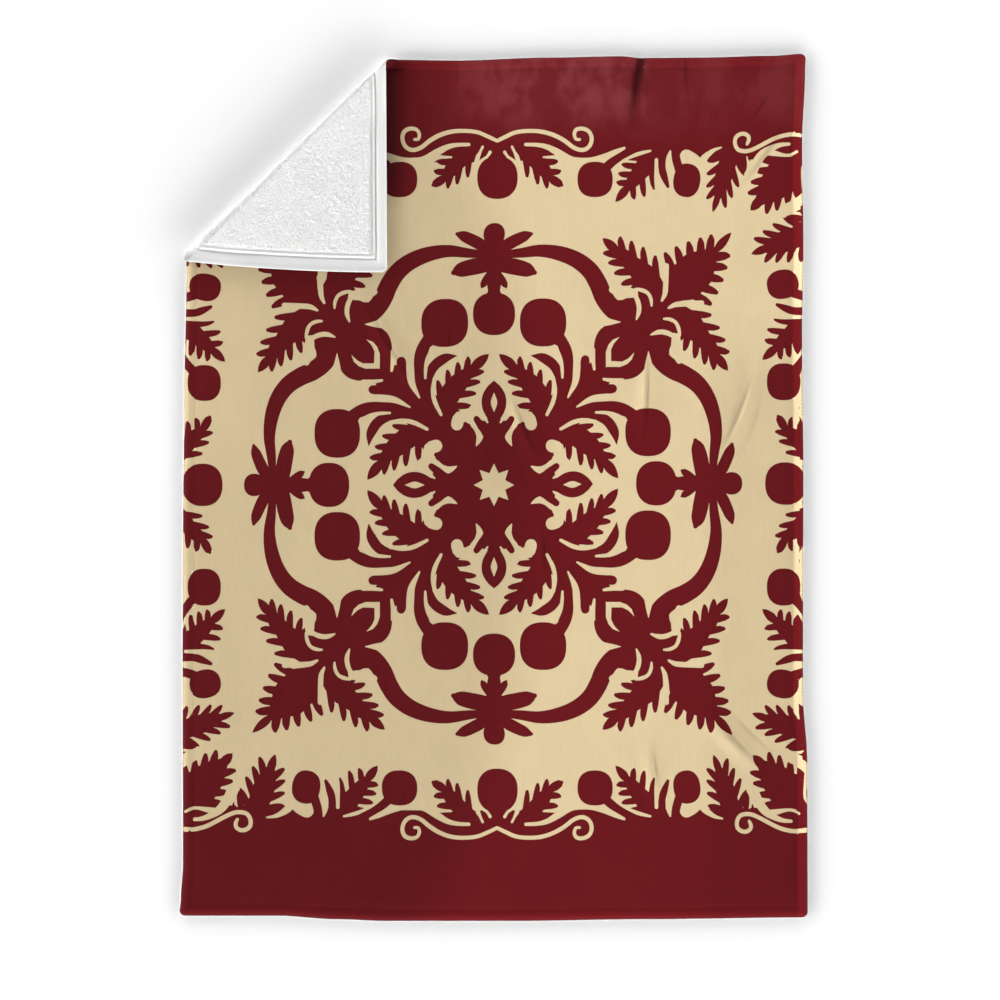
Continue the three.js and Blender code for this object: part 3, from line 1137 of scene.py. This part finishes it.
def make_back_stitches():
    """A row of short stitches round the hem, on the curly side."""
    pitch, length, thick, sides = 4.6, 3.2, 0.9, 5
    across, along = HALF_WIDTH - STITCH_INSET, HALF_LENGTH - STITCH_INSET
    corners = [(-across, -along), (across, -along), (across, along), (-across, along)]
    starts, ends = [], []
    for (u0, v0), (u1, v1) in zip(corners, corners[1:] + corners[:1]):
        run = math.hypot(u1 - u0, v1 - v0)
        count = int(run / pitch)
        for k in range(count):
            middle = (k + 0.5) * run / count
            for points, at in ((starts, middle - length / 2), (ends, middle + length / 2)):
                points.append((u0 + (u1 - u0) * at / run, v0 + (v1 - v0) * at / run))
    starts, ends = np.array(starts), np.array(ends)
    reach = np.full(len(starts), -(BACK_THICKNESS * 0.48 + 0.2))
    a, b = offset_from_seam(starts, reach), offset_from_seam(ends, reach)
    for row in (a, b):
        row[:, 2] = np.maximum(row[:, 2], thick / 2)
    up = face_direction(starts[:, 0], starts[:, 1])
    run = (b - a) / np.linalg.norm(b - a, axis=1)[:, None]
    aside = np.cross(up, run)
    points, faces = [], []
    for start, end, lift, out in zip(a, b, up, aside):
        base = len(points)
        points.append(start)
        for share in (0.2, 0.8):
            centre = start + (end - start) * share
            for k in range(sides):
                turn = 2 * math.pi * k / sides
                points.append(centre + (lift * math.sin(turn) + out * math.cos(turn)) * thick / 2)
        points.append(end)
        for k in range(sides):
            n = (k + 1) % sides
            first, second = base + 1, base + 1 + sides
            faces.append((base, first + k, first + n))
            faces.append((first + k, second + k, second + n, first + n))
            faces.append((second + k, base + 1 + 2 * sides, second + n))
    mesh = bpy.data.meshes.new("back_stitches")
    mesh.from_pydata([tuple(p / 1000) for p in points], [], faces)
    mesh.update()
    mesh.shade_smooth()
    piece = bpy.data.objects.new("back_stitches", mesh)
    bpy.context.collection.objects.link(piece)
    return piece


class Shade:
    """One output of a shader node, so that shader sums read as ordinary ones."""

    tree = None

    def __init__(self, socket):
        self.socket = socket

    @classmethod
    def node(cls, kind, settings=None, output=0, **inputs):
        node = cls.tree.nodes.new(kind)
        for name, value in (settings or {}).items():
            setattr(node, name, value)
        for name, value in inputs.items():
            key = int(name[1:]) if name[0] == "i" and name[1:].isdigit() else name
            cls.feed(node.inputs[key], value)
        return cls(node.outputs[output])

    @classmethod
    def feed(cls, socket, value):
        if isinstance(value, Shade):
            cls.tree.links.new(value.socket, socket)
        else:
            socket.default_value = value

    def sum(self, operation, other, turned_round=False):
        a, b = (other, self) if turned_round else (self, other)
        return Shade.node("ShaderNodeMath", {"operation": operation}, i0=a, i1=b)

    def __add__(self, other):
        return self.sum("ADD", other)

    def __radd__(self, other):
        return self.sum("ADD", other)

    def __sub__(self, other):
        return self.sum("SUBTRACT", other)

    def __rsub__(self, other):
        return self.sum("SUBTRACT", other, turned_round=True)

    def __mul__(self, other):
        return self.sum("MULTIPLY", other)

    def __rmul__(self, other):
        return self.sum("MULTIPLY", other)

    def eased(self, low, high):
        """0 below low and 1 above high, with soft ends."""
        return Shade.node(
            "ShaderNodeMapRange",
            {"interpolation_type": "SMOOTHSTEP"},
            i0=self,
            i1=low,
            i2=high,
        )

    def scaled(self, amounts):
        return Shade.node("ShaderNodeVectorMath", {"operation": "MULTIPLY"}, i0=self, i1=amounts)


def sample(pattern, place, detail=1, rough=0.5):
    """Soft noise from -0.5 to 0.5 at a place already scaled."""
    settings = {"noise_dimensions": "3D"}
    made = Shade.node(pattern, settings, Vector=place, Scale=1, Detail=detail, Roughness=rough)
    return made - 0.5


def blend(factor, a, b):
    return Shade.node("ShaderNodeMix", {"data_type": "RGBA"}, 2, i0=factor, i6=a, i7=b)


def dimmed(colour, amount):
    return Shade.node("ShaderNodeVectorMath", {"operation": "SCALE"}, Vector=colour[:3], Scale=amount)


def linear(*channels):
    """A colour as seen on screen, turned into light."""
    values = [c / 255 for c in channels]
    return (*[v / 12.92 if v <= 0.04045 else ((v + 0.055) / 1.055) ** 2.4 for v in values], 1)


def new_material(name):
    made = bpy.data.materials.new(name)
    made.use_nodes = True
    made.node_tree.nodes.clear()
    Shade.tree = made.node_tree
    return made


def attribute(name):
    return Shade.node("ShaderNodeAttribute", {"attribute_name": name}, "Fac")


def finish_material(colour, rough, bump, sheen):
    surface = Shade.tree.nodes.new("ShaderNodeBsdfPrincipled")
    Shade.feed(surface.inputs["Base Color"], colour)
    Shade.feed(surface.inputs["Roughness"], rough)
    surface.inputs["Specular IOR Level"].default_value = 0.06
    surface.inputs["Sheen Weight"].default_value = sheen
    surface.inputs["Sheen Roughness"].default_value = 0.5
    if bump is not None:
        Shade.feed(surface.inputs["Normal"], bump)
    output = Shade.tree.nodes.new("ShaderNodeOutputMaterial")
    Shade.tree.links.new(surface.outputs[0], output.inputs["Surface"])


def bumped(height, distance, strength):
    return Shade.node("ShaderNodeBump", None, 0, Height=height, Distance=distance, Strength=strength)


def plush():
    made = new_material("printed_plush")
    place = Shade.node("ShaderNodeTexCoord", None, "Object")
    parts = Shade.tree.nodes.new("ShaderNodeSeparateXYZ")
    Shade.feed(parts.inputs[0], place)
    x, y = Shade(parts.outputs[0]), Shade(parts.outputs[1])
    dye = attribute("dye")
    noisy = "ShaderNodeTexNoise"
    painted_shade = attribute("painted_shade")
    hem_painted_light = attribute("hem_painted_light")
    # Painted shade over the left half, painted light that is brightest further right, and painted shade
    # again over the near part of the right-hand band
    edge = x + 0.24 * y * y + 0.03 * sample(noisy, place.scaled((2, 5, 1)))
    broad_light_and_shade = 0.82 + 0.18 * edge.eased(0, 0.18) - 0.1 * x.eased(0.46, 0.54) * (1 - y.eased(0.2, 0.45))
    # A little painted light along the left edge over the far half
    broad_light_and_shade = broad_light_and_shade + 0.04 * (1 - x.eased(-0.62, -0.5)) * y.eased(-0.05, 0.15)
    # Painted shadow of the turned corner on the cloth beside it, towards the far end
    broad_light_and_shade = broad_light_and_shade - 0.4 * (1 - x.eased(-0.265, -0.185)) * y.eased(0.62, 0.74)
    # Painted sheen where the pile was brushed up along the far end
    patches = sample(noisy, place.scaled((11, 7, 1)), 3, 0.6)
    brushed_sheen = y.eased(0.78, 0.92) * x.eased(-0.22, 0.1) * (1 - 0.6 * x.eased(0.3, 0.45))
    brushed_sheen = brushed_sheen * (0.4 + 1.2 * patches.eased(-0.1, 0.12))
    # Painted light on the hem strips, and painted shade at the rim and in the wrinkles
    hem_light_and_edge_shade = (1 + hem_painted_light) * (1 - 0.7 * painted_shade)
    streaks = 0.08 * sample(noisy, place.scaled((160, 14, 1)), 3, 0.6)
    speckle = 0.06 * sample(noisy, place.scaled((900, 700, 1)), 2)
    light = broad_light_and_shade + 0.06 * brushed_sheen + streaks + 0.1 * patches + speckle
    sand = dimmed(linear(221, 199, 158), light * hem_light_and_edge_shade)
    # The maroon takes a stronger share of the painted light and shade
    deep = 1.25 * broad_light_and_shade - 0.25 + 1.4 * streaks + 0.14 * patches + speckle
    maroon = dimmed(linear(103, 15, 21), deep * hem_light_and_edge_shade)
    # Over the maroon the brushed-up pile gets a pale painted sheen, except where shade is painted
    colour = blend(dye, sand, blend(brushed_sheen * 0.22 * (1 - painted_shade), maroon, linear(160, 80, 84)))
    pile = sample(noisy, place.scaled((700, 420, 500)), 2)
    pile = pile + 0.6 * sample(noisy, place.scaled((150, 30, 100)), 2)
    finish_material(colour, 0.9, bumped(pile, 0.0012, 0.35), 0.06)
    return made


def sherpa():
    made = new_material("curly_sherpa")
    place = Shade.node("ShaderNodeTexCoord", None, "Object")
    loose = attribute("loose")
    curl = attribute("curl")
    near = Shade.node("ShaderNodeTexVoronoi", {"feature": "F1"}, "Distance", Vector=place, Scale=210)
    fine = sample("ShaderNodeTexNoise", place.scaled((400, 400, 400)), 3, 0.7)
    matted = sample("ShaderNodeTexNoise", place.scaled((9, 11, 10)), 2).eased(-0.1, 0.15)
    height = loose * (1.7 * fine - near) + 0.15 * fine
    painted_shade = attribute("painted_shade")
    # Random tone in the curls, painted shade that is lighter on the curls' tops and darker between them, and
    # painted shade where it is marked along the rim, the roll and the left hem
    tone_and_shade = 0.985 + 0.05 * curl * loose + (0.65 + 0.6 * matted) * fine * loose - 0.45 * painted_shade
    colour = dimmed(linear(233, 233, 232), tone_and_shade)
    finish_material(colour, 0.92, bumped(height, 0.0024, 0.8), 0.1)
    return made


def plain(name, colour, rough):
    made = new_material(name)
    finish_material(colour, rough, None, 0)
    return made


face = make_face()
back = make_back()
back_stitches = make_back_stitches()
face.data.materials.append(plush())
back.data.materials.append(sherpa())
back_stitches.data.materials.append(plain("stitch_thread", linear(212, 212, 210), 0.7))

for piece, node, kind in ((face, "face", "printed_fleece"), (back, "sherpa_back", "sherpa_fleece")):
    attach(piece, "root")
    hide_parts(node)
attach(back_stitches, "root")

bpy.ops.mesh.primitive_plane_add(size=16, location=(0, 0, 0))
floor = bpy.context.object
floor.name = "floor"
floor.data.materials.append(plain("pale_floor", (0.975, 0.975, 0.975, 1), 0.9))

# Soft studio light: low pale walls all round, brightest near and left, and a faint window at the far left
world = bpy.data.worlds.new("studio")
bpy.context.scene.world = world
world.use_nodes = True
Shade.tree = world.node_tree
parts = Shade.tree.nodes.new("ShaderNodeSeparateXYZ")
Shade.feed(parts.inputs[0], Shade.node("ShaderNodeTexCoord", None, "Generated"))
from_right, from_far, up = (Shade(output) for output in parts.outputs)
walls = up.eased(0, 0.07) * (1 - up.eased(0.12, 0.3)) * (19 - 3.8 * from_right - 6 * from_far)
horizon = 0.8 * (1 - up.eased(0.04, 0.1))
backdrop = Shade.tree.nodes["Background"]
backdrop.inputs["Color"].default_value = (1, 1, 1, 1)
Shade.feed(backdrop.inputs["Strength"], walls + horizon + 0.15)
lamp = bpy.data.lights.new("window", "SUN")
lamp.energy = 0.3
lamp.angle = math.radians(28)
sun = bpy.data.objects.new("window", lamp)
sun.rotation_euler = Vector((-0.5, 0.5, 0.65)).to_track_quat("Z", "Y").to_euler()
bpy.context.collection.objects.link(sun)

camera_data = bpy.data.cameras.new("camera")
camera = bpy.data.objects.new("camera", camera_data)
bpy.context.collection.objects.link(camera)
camera.location = (0.01395, -0.02907, 9)
camera_data.lens = 139.3
camera_data.clip_end = 50
bpy.context.scene.camera = camera
bpy.context.scene.view_settings.view_transform = "Standard"
